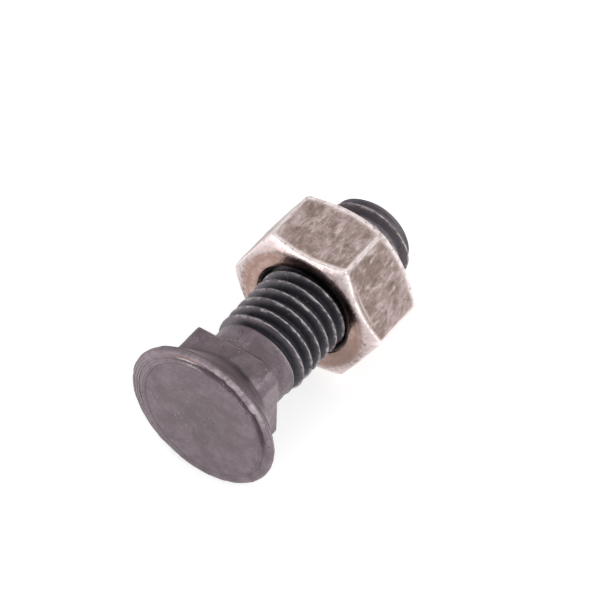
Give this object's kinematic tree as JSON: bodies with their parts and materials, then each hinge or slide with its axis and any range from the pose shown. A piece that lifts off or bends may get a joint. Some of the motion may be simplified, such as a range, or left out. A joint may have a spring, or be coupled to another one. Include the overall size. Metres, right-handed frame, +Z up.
{
  "type": "plow bolt",
  "caption": "Flat round-head plow bolt with countersunk underside, square neck and coarse thread, with a hex nut screwed part of the way on.",
  "frame": {"origin": "middle of the footprint, on the floor that the bolt lies on", "axes": "+Y along the bolt's axis from the head to the threaded end, as it lies on the head's rim and one flat of the nut; +Z up"},
  "size_m": [0.022, 0.0378, 0.0205],
  "materials": {
    "dark_forged_steel": "dark self-coloured forged steel, dull, with worn thread crests",
    "bare_nut_steel": "bare steel, tarnished and mottled brown-grey, bright at worn edges"
  },
  "bodies": {
    "bolt": {"plow_bolt": "dark_forged_steel"},
    "nut": {"hex_nut": "bare_nut_steel"}
  },
  "joints": [
    {"name": "nut_turn", "type": "hinge", "parent": "bolt", "child": "nut", "pos_m": [0, 0.0075, 0.00961], "axis": [0, 0.9997, -0.0249], "continuous": true}
  ]
}
